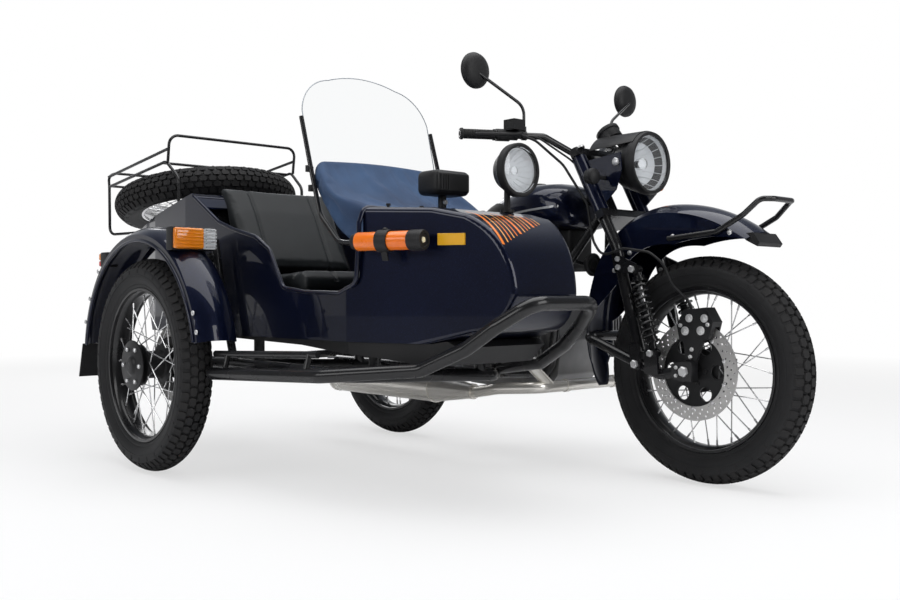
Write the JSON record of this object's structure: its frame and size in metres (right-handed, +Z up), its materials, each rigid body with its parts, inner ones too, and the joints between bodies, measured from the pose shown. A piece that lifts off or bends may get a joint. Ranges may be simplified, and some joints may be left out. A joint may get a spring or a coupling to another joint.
{
  "type": "sidecar motorcycle",
  "caption": "Boxer-twin motorcycle with a wire-wheeled sidecar on its right; the fork steers, the wheels turn and the trunk lid opens with its spare wheel.",
  "frame": {"origin": "on the ground under the middle of the outfit's bounding box", "axes": "+X forward along the outfit, +Y to the rider's left, +Z up"},
  "size_m": [2.4856, 1.67, 1.348],
  "materials": {
    "body_paint": "dark blue metallic gloss",
    "black_paint": "black satin",
    "engine_alloy": "cast, dull",
    "stainless": "polished",
    "wheel_metal": "black rims and hubs, bright spokes",
    "tyre": "matt",
    "rubber": "matt",
    "black_plastic": "fine grain",
    "vinyl": "grained vinyl",
    "cloth": "woven blue cloth",
    "clear": "clear",
    "lamp_glass": "ribbed",
    "lamp": "amber and clear lenses on black",
    "orange": "orange shell",
    "chrome": "bright"
  },
  "bodies": {
    "chassis": {"bike_frame": "black_paint", "engine_block": "engine_alloy", "cylinder_right": "engine_alloy", "cylinder_left": "engine_alloy", "exhaust": "stainless", "fuel_tank": "body_paint", "rider_seat": "vinyl", "rear_fender": "body_paint", "rear_arm": "black_paint", "chassis_shocks": "black_paint", "foot_controls": "rubber", "side_shaft": "black_paint", "sidecar_frame": "black_paint", "side_struts": "black_paint", "sidecar_arm": "black_paint", "sidecar_tub": "body_paint", "seat_frame": "black_paint", "stone_guard": "black_plastic", "passenger_cushion": "vinyl", "passenger_backrest": "vinyl", "windscreen": "clear", "screen_posts": "chrome", "apron": "cloth", "sidecar_fender": "body_paint", "mud_flap": "rubber", "marker_lamps": "lamp", "nose_bumper": "black_paint", "spot_lamp": "black_paint", "spot_glass": "lamp_glass", "work_lamp": "black_plastic", "torch": "orange"},
    "steering": {"fork": "black_paint", "fork_covers": "body_paint", "front_link": "black_paint", "front_shocks": "black_paint", "front_caliper": "black_paint", "front_fender": "body_paint", "fender_loop": "black_paint", "headlamp": "black_paint", "headlamp_lens": "lamp_glass", "lamp_hood": "black_plastic", "handlebar": "black_paint", "grips": "rubber", "bar_controls": "black_plastic", "mirrors": "black_plastic", "front_signals": "lamp"},
    "front_wheel_set": {"front_tyre": "tyre", "front_wheel": "wheel_metal"},
    "rear_wheel_set": {"rear_tyre": "tyre", "rear_wheel": "wheel_metal"},
    "sidecar_wheel_set": {"sidecar_tyre": "tyre", "sidecar_wheel": "wheel_metal"},
    "trunk_cover": {"trunk_lid": "body_paint", "spare_tyre": "tyre", "spare_wheel": "wheel_metal", "luggage_rack": "black_paint"}
  },
  "joints": [
    {"name": "steer", "type": "hinge", "parent": "chassis", "child": "steering", "pos_m": [0.447, 0.394, 0.996], "axis": [-0.4695, 0, 0.8829], "range_deg": [-35, 35]},
    {"name": "front_spin", "type": "hinge", "parent": "steering", "child": "front_wheel_set", "pos_m": [0.904, 0.394, 0.343], "axis": [0, 1, 0], "continuous": true},
    {"name": "rear_spin", "type": "hinge", "parent": "chassis", "child": "rear_wheel_set", "pos_m": [-0.596, 0.394, 0.343], "axis": [0, 1, 0], "continuous": true},
    {"name": "sidecar_spin", "type": "hinge", "parent": "chassis", "child": "sidecar_wheel_set", "pos_m": [-0.423, -0.758, 0.343], "axis": [0, 1, 0], "continuous": true},
    {"name": "trunk_hinge", "type": "hinge", "parent": "chassis", "child": "trunk_cover", "pos_m": [-0.474, -0.306, 0.914], "axis": [0, 1, 0], "range_deg": [0, 55]}
  ]
}
